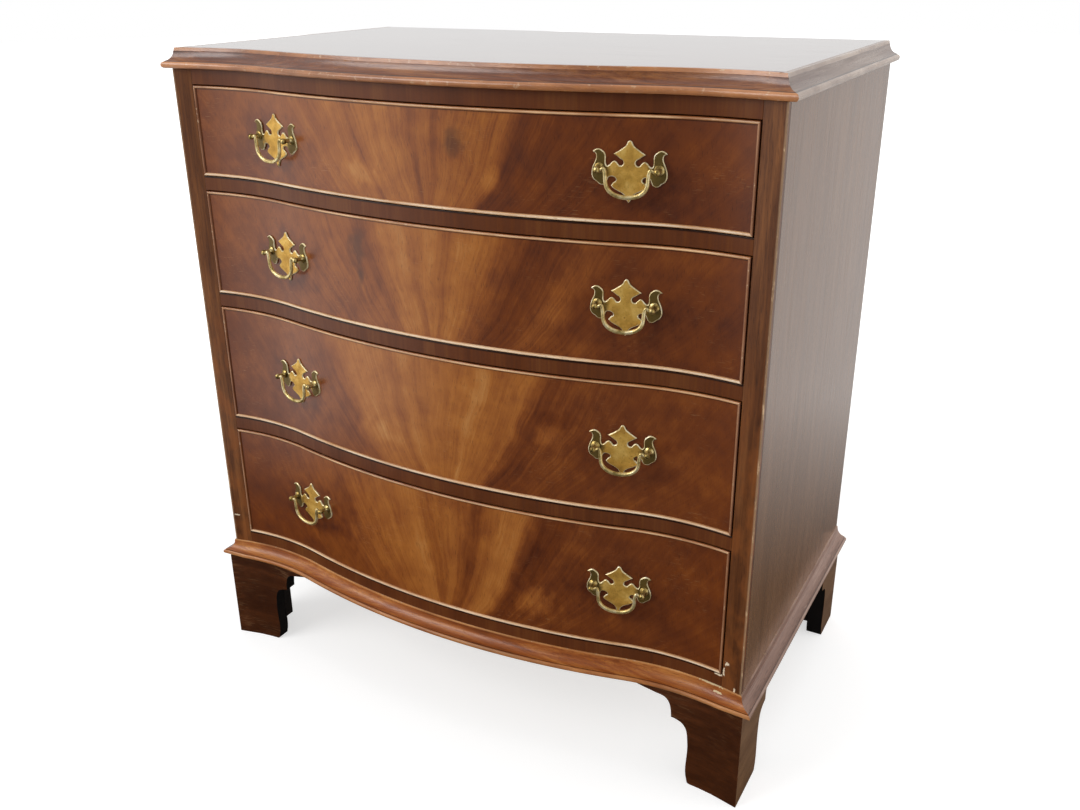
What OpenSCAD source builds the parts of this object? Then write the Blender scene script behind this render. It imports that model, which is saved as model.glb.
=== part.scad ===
// Serpentine chest of drawers with four graduated drawers on bracket feet.
// Millimetres. X runs across the chest, the front faces -Y and Z is up.
// The origin is on the floor, at the middle of the chest's outer box.

/* [Carcase] */
// Width over the two side panels
carcase_w = 760; // [680:10:860]
// Depth from the edges of the drawer opening to the back
carcase_d = 435; // [400:5:500]
// Thickness of each side panel
side_t = 18; // [16:1:20]
// Width of each front stile
stile_w = 25; // [23:1:32]
// Thickness of the stile's facing, seen from the side
stile_t = 7.5; // [6.5:0.5:10]
// Thickness of the plywood back
back_t = 6; // [4:0.5:9]
// Thickness of the bottom board
floor_t = 12; // [8:1:18]

/* [Serpentine front] */
// Radius of the swelling in the middle
bow_r = 1004; // [900:4:1200]
// Radius of the hollow near each end
hollow_r = 306; // [280:2:400]
// Distance from the drawer opening's edge to the deepest point of the hollow
hollow_in = 52.5; // [40:0.5:60]
// Flats that the curve is laid out with, from one stile to the other
curve_steps = 40; // [32:2:48]

/* [Drawers] */
// Height of the first front, counted from the top
front_1_h = 108.5; // [95:0.5:125]
// Height of the second front
front_2_h = 132.5; // [110:0.5:150]
// Height of the third front
front_3_h = 156.5; // [130:0.5:170]
// Height of the fourth front
front_4_h = 161; // [130:0.5:180]
// Gap between a front and the rails and stiles round it
front_gap = 1; // [0.6:0.1:1.5]
// Thickness of a drawer front
front_t = 22; // [20:1:26]
// Thickness of a drawer side
box_side_t = 10; // [8:0.5:12]
// Thickness of a drawer back
box_back_t = 10; // [8:0.5:12]
// Thickness of a drawer bottom
box_bottom_t = 5; // [4:0.5:7]
// Height of the bottom's groove above the lower edge of the sides
box_groove_up = 10; // [8:1:14]
// Drop from the top of a front to the top of its sides
box_side_drop = 9; // [6:1:14]
// Drop from the top of the sides to the top of the drawer's back
box_back_drop = 6; // [3:1:10]
// Length of side left behind the drawer's back
box_tail = 6; // [4:1:12]
// Face width of the cockbead
bead_w = 3.6; // [2.6:0.2:4]
// Distance that the cockbead stands out from the front
bead_out = 2.2; // [1.5:0.1:3]

/* [Dovetails] */
// Thickness of drawer front left in front of the tails, which the cockbead is let into
front_lap = 8; // [6:0.5:10]
// Width of a tail at its root
tail_w = 13; // [10:1:16]
// Slope of a tail's sides, in degrees
tail_slope = 9; // [6:0.5:11]
// Spacing aimed at between tails
tail_pitch = 28; // [24:1:36]

/* [Rails and runners] */
// Thickness of the rails between drawers
rail_t = 17.5; // [15:0.5:24]
// Thickness of the rail over the first drawer
top_rail_t = 18; // [14:1:24]
// Height of the shaped rail under the last drawer
bottom_rail_h = 40.5; // [38:0.5:60]
// Thickness of that shaped rail
bottom_rail_t = 20; // [16:1:24]
// Distance of the rails' back edge behind the edges of the drawer opening
rail_back = 60; // [45:1:90]
// Width of a runner
runner_w = 24; // [22:1:30]
// Height of a runner under the drawer side
runner_h = 18; // [14:1:24]
// Height of a runner's guide above it
guide_h = 26; // [15:1:40]
// Length of the stop block at a runner's back end
stop_l = 15; // [10:1:25]

/* [Top and mouldings] */
// Thickness of the top, and height of the moulding round it
top_t = 24; // [24:1:30]
// Distance of the top moulding's joint inside the carcase face
top_inset = 10; // [7:0.5:16]
// Reach of the top moulding past the carcase
top_reach = 10.4; // [9:0.1:12]
// Radius of the top moulding's nose
top_nose_r = 3.8; // [3.2:0.1:4.2]
// Distance of the flat band's lower edge behind the carcase
top_lip = 3; // [2:0.5:5]
// Height of the flat band over the hollow
top_band = 4; // [3:0.1:5]
// Height of the base moulding
base_h = 24; // [23.5:0.5:28]
// Reach of the base moulding past the carcase
base_reach = 16; // [15.6:0.2:18]
// Radius of the base moulding's bead
base_bead_r = 3.1; // [2.6:0.1:3.4]
// Radius of the hollow over that bead
base_hollow_r = 12.6; // [11.6:0.1:12.6]

/* [Bracket feet] */
// Height of the feet, up to the base moulding
foot_h = 131; // [120:1:150]
// Thickness of the bracket boards
foot_t = 22; // [18:1:26]
// Distance of the brackets' faces outside the carcase
foot_out = 6.5; // [3:0.5:8]
// Width of a front bracket at the floor
foot_front_w = 66; // [55:1:75]
// Width of a front foot's side bracket at the floor
foot_side_w = 72; // [60:1:80]
// Width of a rear foot's side bracket at the floor
foot_rear_w = 58; // [50:1:70]
// Length of the shaped wing past the foot's floor width
foot_wing = 77; // [65:1:90]
// Side of the square glue blocks
block_w = 30; // [22:1:34]
// Height of the glue blocks' lower ends above the floor
block_up = 14; // [6:1:40]

/* [Handles] */
// Distance of a handle's middle from the middle of the chest
handle_x = 226; // [200:1:250]
// Distance of a handle's middle under the middle of its front
handle_down = 1.3; // [0:0.1:4]
// Distance between the two posts of a handle
post_pitch = 60.5; // [56:0.5:68]
// Distance of the bail's pivots above the middle of the plate
post_up = 2.5; // [0:0.5:4]
// Thickness of a back plate
plate_t = 1.6; // [1.2:0.1:2.4]
// Distance of the bail's pivot line from the drawer front
stand_off = 13; // [12:0.5:18]
// Radius of a post's ball head
ball_r = 3.5; // [3:0.1:4.2]
// Radius of a post's screw
screw_r = 2; // [1.6:0.1:2.5]
// Radius of the bail's pivot pins
pin_r = 1.2; // [1:0.05:1.5]
// Radial clearance of a pivot pin in its ball
pin_fit = 0.05; // [0.02:0.01:0.1]
// Drop of the bail's middle under its pivots
bail_drop = 26; // [22:0.5:28]
// Half of the bail's width across its sides
bail_half = 21.3; // [18:0.1:23]
// Radius of the bail at its ends
bail_end_r = 1.5; // [1.2:0.1:1.8]
// Radius of the bail in the middle of its grip
bail_grip_r = 2.3; // [1.8:0.1:2.8]
// Thickness of the nuts inside the drawer
nut_t = 3; // [2.5:0.1:4]

/* [Hidden] */

// Sliding clearance under the drawer sides, and between a closed drawer and its stops
run_gap = 0.3;
// Depth of the drawer bottom's groove in the sides and the front
groove_deep = 5;
// Depth of the housing for the drawer's back
housing_deep = 4;
// Width of the rebate that the back panel sits in
rebate_w = 9;
// Clearance of a post's screw in the drawer front, plate and nut
screw_fit = 0.1;
// Glue line at a mitre, and where the two boards of a rear foot meet
glue_line = 0.1;
// Wood left over a side's highest tail
tail_edge = 3;
// Half of a back plate's width
plate_half = 39;
// Clearance between a back plate and the highest point of the front under it
plate_clear = 0.02;
// Radii of a post's collar and neck
collar_r = 5.2;
neck_r = 2.3;
// Radius of a post's nut across its corners, and the room left round it in its recess
nut_r = 4;
nut_room = 2.5;
// Depth that a nut is sunk into the back of a front, and length of screw that shows past it
nut_sink = 1.5;
screw_past = 1.5;
nut_seat = front_t - nut_sink;

// Half widths, from the middle of the chest
out_x = carcase_w / 2;
side_x = out_x - side_t;
open_x = out_x - stile_w;
front_x = open_x - front_gap;

// Levels of the four drawers, each a list from the first drawer to the fourth
front_h = [front_1_h, front_2_h, front_3_h, front_4_h];
run_z4 = foot_h + bottom_rail_h;
run_z3 = run_z4 + front_4_h + 2 * front_gap + rail_t;
run_z2 = run_z3 + front_3_h + 2 * front_gap + rail_t;
run_z1 = run_z2 + front_2_h + 2 * front_gap + rail_t;
run_z = [run_z1, run_z2, run_z3, run_z4];
top_rail_z = run_z1 + front_1_h + 2 * front_gap;
top_z = top_rail_z + top_rail_t;

// The front's plan: a convex arc in the middle that flows into a hollow arc at each end.
// The drawer opening's edges are at y = 0, and the stiles go on along the hollow to the corners.
hollow_x = open_x - hollow_in;
hollow_y = hollow_r - sqrt(hollow_r * hollow_r - hollow_in * hollow_in);
flow_angle = asin(hollow_x / (bow_r + hollow_r));
flow_x = bow_r * sin(flow_angle);
crest_y = hollow_y - (bow_r + hollow_r) * (1 - cos(flow_angle));
function bow_y(x) = crest_y + bow_r - sqrt(bow_r * bow_r - x * x);
function end_y(x) = hollow_y - hollow_r + sqrt(hollow_r * hollow_r - pow(abs(x) - hollow_x, 2));
function front_y(x) = abs(x) < flow_x ? bow_y(x) : end_y(x);
function lean(x) = abs(x) < flow_x ? asin(x / bow_r) : sign(x) * asin((hollow_x - abs(x)) / hollow_r);

// Place of the corners, and the y part of a moulding's mitre there, per millimetre of reach
corner_y = front_y(out_x);
corner_out = -(1 - sin(lean(out_x))) / cos(lean(out_x));

// The joint line behind a stile's facing, which leans as the facing does
joint_inner = [side_x, stile_t + corner_y * (side_x - open_x) / stile_w];
joint_outer = [out_x, stile_t + corner_y];
function flip(p) = [-p.x, p.y];

// The whole chest is moved by this much, so that the origin is in the middle of its depth
mid_y = (carcase_d + crest_y - base_reach) / 2;

// Stations across the front, each with its place and the direction that a moulding reaches in
curve_x = [for (i = [0:curve_steps]) -open_x + 2 * open_x * i / curve_steps];
curve_stations = [for (x = curve_x) [[x, front_y(x)], [sin(lean(x)), -cos(lean(x))]]];
function front_stations(gap) = concat([[[gap - out_x, corner_y], [-1, corner_out]]], curve_stations,
    [[[out_x - gap, corner_y], [1, corner_out]]]);
function side_stations(gap) = [[[out_x, corner_y + gap], [1, corner_out]], [[out_x, carcase_d], [1, 0]]];

// Places of the drawer box's parts, from the drawer opening backwards
box_end_y = carcase_d - back_t - stop_l - run_gap;
box_back_y = box_end_y - box_tail - box_back_t;
box_in_x = front_x - box_side_t;
function box_z(d) = run_z[d] + run_gap;
function box_top(d) = run_z[d] + front_gap + front_h[d] - box_side_drop;
function bottom_z(d) = box_z(d) + box_groove_up;

// A handle is parallel to the chord of the laid-out curve under its plate, and just clears all of it
curve_line = [for (x = curve_x) [x, front_y(x)]];
chord_y = [for (side = [-1, 1]) lookup(handle_x + side * plate_half, curve_line)];
chord_slope = (chord_y[1] - chord_y[0]) / (2 * plate_half);
handle_angle = atan(chord_slope);
under_plate = [for (p = curve_line) let (t = p.x - handle_x) if (abs(t) < plate_half) p.y - t * chord_slope];
handle_y = min(concat(under_plate, [(chord_y[0] + chord_y[1]) / 2])) - plate_clear;
function handle_z(d) = run_z[d] + front_gap + front_h[d] / 2 - handle_down;

// Points along a cubic curve, without its first point
function curve(a, b, c, d, n) = [for (i = [1:n]) let (t = i / n, s = 1 - t)
    s * s * s * a + 3 * s * s * t * b + 3 * s * t * t * c + t * t * t * d];
// Points along an arc round c, from angle a to angle b
function arc(c, r, a, b, n = 6) = [for (i = [0:n]) let (t = a + (b - a) * i / n)
    c + r * [cos(t), sin(t)]];

// Moves a piece from the drawer opening's line to the shared origin
module place() {
    translate([0, -mid_y, 0]) children();
}

// Sweeps an outline of [reach, height] points along stations
module sweep(outline, stations) {
    n = len(outline);
    last = len(stations) - 1;
    points = [for (s = stations, p = outline) [s[0].x + p.x * s[1].x, s[0].y + p.x * s[1].y, p.y]];
    walls = [for (k = [0:last - 1], i = [0:n - 1]) let (a = k * n + i, b = k * n + (i + 1) % n)
        each [[a, b, b + n], [a, b + n, a + n]]];
    first_cap = [for (i = [n - 1:-1:0]) i];
    last_cap = [for (i = [0:n - 1]) last * n + i];
    polyhedron(points, concat(walls, [first_cap, last_cap]));
}

// Draws a piece for the right-hand side, and its mirror image for the left
module both_sides() {
    for (side = [-1, 1]) hand(side) children();
}
module hand(side) {
    mirror([side < 0 ? 1 : 0, 0, 0]) children();
}

// Carcase

// Plan inside the moulding's joint, which the top fills
top_edge = [for (s = front_stations(0)) s[0] - top_inset * s[1]];
module top_board() {
    color("#c9c6be") place() translate([0, 0, top_z]) linear_extrude(top_t)
        polygon(concat(top_edge, [[out_x - top_inset, carcase_d], [top_inset - out_x, carcase_d]]));
}

// A round nose, a slanted shoulder, a wide hollow and a narrow band up to the top
top_nose = [top_reach - top_nose_r, top_nose_r + 0.6];
top_shoulder = [top_nose.x - 1, 2 * top_nose_r + 1.6];
band_foot = [-top_lip, top_t - top_band];
top_outline = concat(
    [[-top_inset, 0]],
    arc(top_nose, top_nose_r, -90, 75, 7),
    [top_shoulder],
    curve(top_shoulder, top_shoulder + [-4.1, 0.8], band_foot + [0.4, -5.5], band_foot, 6),
    [band_foot + [-0.4, 0.2], [band_foot.x - 1.2, top_t], [-top_inset, top_t]]);
module moulding(outline, z) {
    translate([0, 0, z]) {
        sweep(outline, front_stations(glue_line));
        both_sides() sweep(outline, side_stations(glue_line));
    }
}
module top_moulding() {
    color("#7a4326") place() moulding(top_outline, top_z);
}

// A bead near the lower edge, and a wide hollow over it up to the carcase
base_bead = [base_reach - base_bead_r, base_bead_r + 2.2];
base_hollow = [base_bead.x + 1.5, base_h - 2];
base_outline = concat(
    [[0, 0], [foot_out + 0.5, 0], [base_bead.x - 2.4, 0.6]],
    arc(base_bead, base_bead_r, -95, 65, 6),
    [[base_bead.x + 0.2, base_bead.y + base_bead_r - 0.1]],
    arc(base_hollow, base_hollow_r, 263, 180, 7),
    [[base_hollow.x - base_hollow_r - 0.5, base_h], [0, base_h]]);
module base_moulding() {
    color("#7d4a2e") place() moulding(base_outline, foot_h);
}

module side_panel() {
    difference() {
        translate([0, 0, foot_h]) linear_extrude(top_z - foot_h)
            polygon([joint_inner, joint_outer, [out_x, carcase_d], [side_x, carcase_d]]);
        translate([side_x - 1, carcase_d - back_t, foot_h - 1])
            cube([rebate_w + 1, back_t + 1, top_z - foot_h + 2]);
    }
}
module left_side() {
    color("#6b4a38") place() hand(-1) side_panel();
}
module right_side() {
    color("#6b4a38") place() side_panel();
}

// A stile goes on in the line of the hollow, from the drawer opening to the corner
module stile() {
    translate([0, 0, foot_h]) linear_extrude(top_z - foot_h)
        polygon([[open_x, 0], [out_x, corner_y], joint_outer, [open_x, stile_t]]);
}
module left_stile() {
    color("#5e3420") place() hand(-1) stile();
}
module right_stile() {
    color("#5e3420") place() stile();
}

// Plan of a rail: the curved front between the stiles, with ends that reach the side panels
module rail_plan(back_line) {
    polygon(concat(curve_line, [[open_x, stile_t], joint_inner], back_line,
        [flip(joint_inner), [-open_x, stile_t]]));
}
module straight_rail(z, h) {
    translate([0, 0, z]) linear_extrude(h) rail_plan([[side_x, rail_back], [-side_x, rail_back]]);
}
// The last rail and the drawer fronts have a back face that follows the curve
function follow(t) = [for (i = [curve_steps:-1:0]) curve_line[i] + [0, t]];
function rail_follow(t) = concat([[side_x, t]], follow(t), [[-side_x, t]]);
module top_rail() {
    color("#5e3420") place() straight_rail(top_rail_z, top_rail_t);
}
module drawer_rail(d) {
    color("#5e3420") place() straight_rail(run_z[d] - rail_t, rail_t);
}
module drawer_rail_1() drawer_rail(0);
module drawer_rail_2() drawer_rail(1);
module drawer_rail_3() drawer_rail(2);
module bottom_rail() {
    color("#5e3420") place() translate([0, 0, foot_h]) linear_extrude(bottom_rail_h)
        rail_plan(rail_follow(bottom_rail_t));
}

module back_panel() {
    color("#b08a5e") place() translate([-side_x - rebate_w, carcase_d - back_t, foot_h])
        cube([2 * (side_x + rebate_w), back_t, top_z - foot_h]);
}

// Fills the carcase behind the last rail, level with its lower edge
module bottom_board() {
    rail_line = rail_follow(bottom_rail_t);
    ends = [[-side_x, carcase_d - back_t], [side_x, carcase_d - back_t]];
    color("#a8814f") place() translate([0, 0, foot_h]) linear_extrude(floor_t)
        polygon(concat(rail_line, ends));
}

// A runner carries one side of a drawer. Its guide keeps the drawer straight,
// and a block at its back end stops the drawer when it is shut.
module runner(d) {
    front = d == 3 ? bottom_rail_t + hollow_y : rail_back;
    length = carcase_d - back_t - front;
    end_y = carcase_d - back_t - stop_l;
    translate([side_x - runner_w, front, run_z[d] - runner_h]) cube([runner_w, length, runner_h]);
    translate([open_x, front, run_z[d]]) cube([side_x - open_x, length, guide_h]);
    translate([side_x - runner_w, end_y, run_z[d]]) cube([runner_w, stop_l, guide_h]);
}
// A kicker over the first drawer keeps it level as it is pulled out
module kicker() {
    z = box_top(0) + front_gap;
    translate([side_x - runner_w, rail_back, z]) cube([runner_w, carcase_d - back_t - rail_back, top_z - z]);
}
module drawer_runners() {
    color("#b98f5c") place() both_sides() {
        for (d = [0:3]) union() runner(d);
        kicker();
    }
}

// Feet

// Outline of a bracket, from the foot's outer corner inwards, with its shaped edge and wing
function bracket(w) = concat(
    [[0, 0], [w - 4, 0]],
    curve([w - 4, 0], [w - 1, 0], [w, 1.5], [w, 4], 3),
    curve([w, 4], [w + 6, 22], [w - 1, 42], [w + 2, foot_h / 2], 8),
    curve([w + 2, foot_h / 2], [w + 3, foot_h - 46], [w + 9, foot_h - 42], [w + 24, foot_h - 40], 8),
    curve([w + 24, foot_h - 40], [w + 24.5, foot_h - 26], [w + 26, foot_h - 14], [w + 38, foot_h - 12], 8),
    curve([w + 38, foot_h - 12], [w + 54, foot_h - 9], [w + foot_wing - 12, foot_h - 5],
        [w + foot_wing, foot_h], 8),
    [[0, foot_h]]);
foot_x = out_x + foot_out;
foot_y = corner_y + corner_out * foot_out;
foot_in_x = foot_x - foot_t;
foot_in_y = foot_y - corner_out * foot_t;

// The front bracket's face follows the curve, and its back is flat
module front_bracket() {
    reach = foot_x - foot_front_w - foot_wing - 2;
    face = [for (s = front_stations(0)) s[0] + foot_out * s[1]];
    inner = [for (p = face) if (p.x > reach) p];
    intersection() {
        linear_extrude(foot_h) polygon(concat(inner, [[foot_in_x, foot_in_y], [inner[0].x, foot_in_y]]));
        translate([foot_x, foot_t, 0]) rotate([90, 0, 0]) mirror([1, 0, 0])
            linear_extrude(foot_t - crest_y + foot_out) polygon(bracket(foot_front_w));
    }
}
// The side bracket meets it in a mitre
module side_bracket() {
    intersection() {
        linear_extrude(foot_h) polygon([[foot_x, glue_line + foot_y], [foot_x, carcase_d / 2],
            [foot_in_x, carcase_d / 2], [foot_in_x, glue_line + foot_in_y]]);
        translate([foot_in_x - 1, foot_y, 0]) rotate([90, 0, 90]) linear_extrude(foot_t + 2)
            polygon(bracket(foot_side_w));
    }
}
module front_foot() {
    front_bracket();
    side_bracket();
}
// A rear foot has a shaped side bracket, and a plain board behind it
module rear_foot() {
    translate([foot_in_x, carcase_d, 0]) mirror([0, 1, 0]) rotate([90, 0, 90]) linear_extrude(foot_t)
        polygon(bracket(foot_rear_w));
    translate([foot_in_x - glue_line, carcase_d, 0]) rotate([90, 0, 0]) mirror([1, 0, 0])
        linear_extrude(foot_t) polygon([[0, 0], [foot_rear_w - foot_t, 0], [foot_rear_w, foot_h],
            [0, foot_h]]);
}
module front_left_foot() {
    color("#4a2b1b") place() hand(-1) front_foot();
}
module front_right_foot() {
    color("#4a2b1b") place() front_foot();
}
module rear_left_foot() {
    color("#4a2b1b") place() hand(-1) rear_foot();
}
module rear_right_foot() {
    color("#4a2b1b") place() rear_foot();
}
module glue_blocks() {
    color("#8a6a45") place() both_sides() for (y = [foot_in_y, carcase_d - foot_t - block_w])
        translate([foot_in_x - block_w, y, block_up]) cube([block_w, block_w, foot_h - block_up]);
}

// Drawers

// Tails are spaced evenly between the lowest and the highest that fit on a side
tail_l = front_t - front_lap;
tail_spread = tail_l * tan(tail_slope);
function tail_low(d) = run_z[d] + front_gap + bead_w + tail_w / 2 + tail_spread;
function tail_high(d) = box_top(d) - tail_w / 2 - tail_spread - tail_edge;
function tail_count(d) = 1 + floor((tail_high(d) - tail_low(d)) / tail_pitch);
function tail_z(d) = [for (i = [0:tail_count(d) - 1])
    tail_low(d) + i * (tail_high(d) - tail_low(d)) / (tail_count(d) - 1)];
module tails(d) {
    for (z = tail_z(d)) translate([box_in_x, front_t - tail_l, z]) rotate([90, 0, 90])
        linear_extrude(box_side_t) polygon([[0, -tail_w / 2 - tail_spread], [tail_l + 1, -tail_w / 2],
            [tail_l + 1, tail_w / 2], [0, tail_w / 2 + tail_spread]]);
}
module drawer_side(d) {
    difference() {
        union() {
            translate([box_in_x, front_t, box_z(d)])
                cube([box_side_t, box_end_y - front_t, box_top(d) - box_z(d)]);
            tails(d);
        }
        translate([box_in_x - 1, 0, bottom_z(d)]) cube([groove_deep + 1, box_end_y + 1, box_bottom_t]);
        translate([box_in_x - 1, box_back_y, bottom_z(d) + box_bottom_t])
            cube([housing_deep + 1, box_back_t, box_top(d) - box_back_drop - bottom_z(d) - box_bottom_t]);
    }
}

// Plan of the drawer bottom, whose front edge lies in the front's groove
bottom_half = box_in_x + groove_deep;
bottom_line = [for (p = follow(front_t - groove_deep)) if (abs(p.x) < bottom_half) p];
module bottom_plan() {
    y = [front_t - groove_deep, box_back_y + box_back_t];
    polygon(concat([[bottom_half, y[0]]], bottom_line,
        [[-bottom_half, y[0]], [-bottom_half, y[1]], [bottom_half, y[1]]]));
}
module drawer_bottom(d) {
    color("#c2a06f") place() translate([0, 0, bottom_z(d)]) linear_extrude(box_bottom_t) bottom_plan();
}

// Places something at both handles of a drawer: x along the plate, -y out of it, z up
module at_handle(d, side) {
    translate([side * handle_x, handle_y, handle_z(d)]) rotate([0, 0, side * handle_angle]) children();
}
module post_holes(r) {
    for (side = [-1, 1]) translate([side * post_pitch / 2, 0, post_up]) rotate([90, 0, 0])
        cylinder(r = r, h = 4 * front_t, center = true, $fn = 24);
}
module nut_recess() {
    for (side = [-1, 1]) translate([side * post_pitch / 2, nut_seat, post_up]) rotate([-90, 0, 0])
        cylinder(r = nut_r + nut_room, h = front_t, $fn = 32);
}

// The cockbead is let in as deep as the dovetails' lap
bead_deep = front_lap;
// Plan of a drawer front, cut back from the curve's ends by the gap
front_line = [for (x = curve_x) let (c = min(max(x, -front_x), front_x)) [c, front_y(x)]];
function front_band(near, far) = concat([for (p = front_line) p + [0, near]],
    [for (i = [curve_steps:-1:0]) front_line[i] + [0, far]]);
// The cockbead's rebate runs round the edge, and the back is planed flat where the sides meet it
module drawer_front(d) {
    low = run_z[d] + front_gap;
    color("#8a4a22") place() difference() {
        translate([0, 0, low]) linear_extrude(front_h[d]) polygon(front_band(0, front_t));
        for (z = [low - bead_w, low + front_h[d] - bead_w])
            translate([0, 0, z]) linear_extrude(2 * bead_w) polygon(front_band(-1, bead_deep));
        both_sides() {
            translate([front_x - bead_w, crest_y, low - 1])
                cube([bead_w + 1, bead_deep - crest_y, front_h[d] + 2]);
            translate([box_in_x, front_t, low - 1]) cube([box_side_t + 1, front_t, front_h[d] + 2]);
            tails(d);
        }
        translate([0, 0, bottom_z(d)]) linear_extrude(box_bottom_t) bottom_plan();
        for (side = [-1, 1]) at_handle(d, side) {
            post_holes(screw_r + screw_fit);
            nut_recess();
        }
    }
}

// A cockbead is four strips with rounded noses, mitred at the drawer's corners
bead_r = bead_w / 2;
bead_nose = [bead_out - bead_r, bead_r];
bead_outline = concat([[-bead_deep, 0]], arc(bead_nose, bead_r, -90, 90, 4), [[-bead_deep, bead_w]]);
module bead_mitre(d, upright) {
    low = run_z[d] + front_gap;
    high = low + front_h[d];
    x = front_x - bead_w;
    z = [low + bead_w, high - bead_w];
    translate([0, 2 * bead_deep, 0]) rotate([90, 0, 0]) linear_extrude(2 * bead_deep - crest_y + 2 * bead_out)
        if (upright) polygon([[x, z[0] + glue_line], [front_x, low + glue_line], [front_x, high - glue_line],
            [x, z[1] - glue_line]]);
        else for (ends = [[low, z[0]], [high, z[1]]])
            polygon([[-front_x, ends[0]], [front_x, ends[0]], [x, ends[1]], [-x, ends[1]]]);
}
module drawer_cockbead(d) {
    low = run_z[d] + front_gap;
    stations = [for (p = front_line) [p, [0, -1]]];
    color("#b5713c") place() {
        for (z = [low, low + front_h[d] - bead_w]) intersection() {
            translate([0, 0, z]) sweep(bead_outline, stations);
            bead_mitre(d, false);
        }
        both_sides() intersection() {
            translate([front_x, 0, low]) mirror([1, 0, 0]) linear_extrude(front_h[d])
                polygon([for (p = bead_outline) [p.y, -p.x]]);
            bead_mitre(d, true);
        }
    }
}
module drawer_back(d) {
    half = box_in_x + housing_deep;
    z = bottom_z(d) + box_bottom_t;
    color("#c2a06f") place() translate([-half, box_back_y, z])
        cube([2 * half, box_back_t, box_top(d) - box_back_drop - z]);
}

// Handles

// Right half of a back plate's outline, from the tip of its crest to the finial under it
plate_edge = concat(
    [[0, 30]],
    curve([0, 30], [2.6, 30], [2.4, 26.8], [4.4, 24.6], 3),
    curve([4.4, 24.6], [8, 21.6], [12, 19.2], [16.2, 16.6], 3),
    curve([16.2, 16.6], [12.4, 15], [10.6, 12.6], [7.6, 11.4], 3),
    curve([7.6, 11.4], [4, 8.6], [7, 4], [10.4, 5.6], 5),
    curve([10.4, 5.6], [12.4, 8], [14.8, 12.4], [18.4, 8], 5),
    curve([18.4, 8], [20, 5.8], [23.6, 1.8], [24.2, 8], 4),
    curve([24.2, 8], [24.6, 12], [22.6, 16.6], [27.4, 19.4], 4),
    curve([27.4, 19.4], [30.6, 22.4], [34.6, 21.6], [plate_half - 1.4, 18.2], 4),
    curve([plate_half - 1.4, 18.2], [32.6, 17.6], [33, 12.4], [35.4, 8], 5),
    curve([35.4, 8], [plate_half, 1], [plate_half + 1, -7.6], [34.4, -10.4], 5),
    curve([34.4, -10.4], [31.6, -11.4], [30.8, -14.6], [27, -14.2], 4),
    curve([27, -14.2], [21.4, -13.8], [23, -6], [19.4, -5.6], 5),
    curve([19.4, -5.6], [14.6, -4.6], [11.4, -8.4], [14.2, -10.4], 4),
    curve([14.2, -10.4], [16.4, -10.8], [16.8, -13], [18.4, -14.6], 2),
    curve([18.4, -14.6], [15, -19.4], [8, -20], [4.4, -23.6], 4),
    curve([4.4, -23.6], [2, -26], [3.2, -28.6], [0, -31], 3));
module plate_shape() {
    n = len(plate_edge);
    polygon(concat(plate_edge, [for (i = [n - 2:-1:1]) [-plate_edge[i].x, plate_edge[i].y]]));
}
module back_plate() {
    difference() {
        rotate([90, 0, 0]) linear_extrude(plate_t) plate_shape();
        post_holes(screw_r + screw_fit);
    }
}
module drawer_backplates(d) {
    color("#c9a04a") place() for (side = [-1, 1]) at_handle(d, side) back_plate();
}

// A post: its screw, a collar on the plate, a slim neck and a ball that is drilled for the bail
screw_end = -nut_seat - nut_t - screw_past;
post_line = concat(
    [[0, screw_end], [screw_r, screw_end], [screw_r, plate_t], [collar_r, plate_t]],
    [[collar_r, plate_t + 0.8], [neck_r + 1, plate_t + 2.2], [neck_r, plate_t + 4]],
    arc([0, stand_off], ball_r, -acos(neck_r / ball_r), 90, 8));
module post() {
    difference() {
        rotate([90, 0, 0]) rotate_extrude($fn = 32) polygon(post_line);
        translate([0, -stand_off, 0]) rotate([0, 90, 0])
            cylinder(r = pin_r + pin_fit, h = 4 * ball_r, center = true, $fn = 24);
    }
    difference() {
        translate([0, nut_seat, 0]) rotate([-90, 0, 0]) cylinder(r = nut_r, h = nut_t, $fn = 6);
        translate([0, nut_seat - 1, 0]) rotate([-90, 0, 0])
            cylinder(r = screw_r + screw_fit / 2, h = nut_t + 2, $fn = 24);
    }
}
module drawer_posts(d) {
    color("#a98238") place() for (side = [-1, 1]) at_handle(d, side)
        for (end = [-1, 1]) translate([end * post_pitch / 2, 0, post_up]) post();
}

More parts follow.
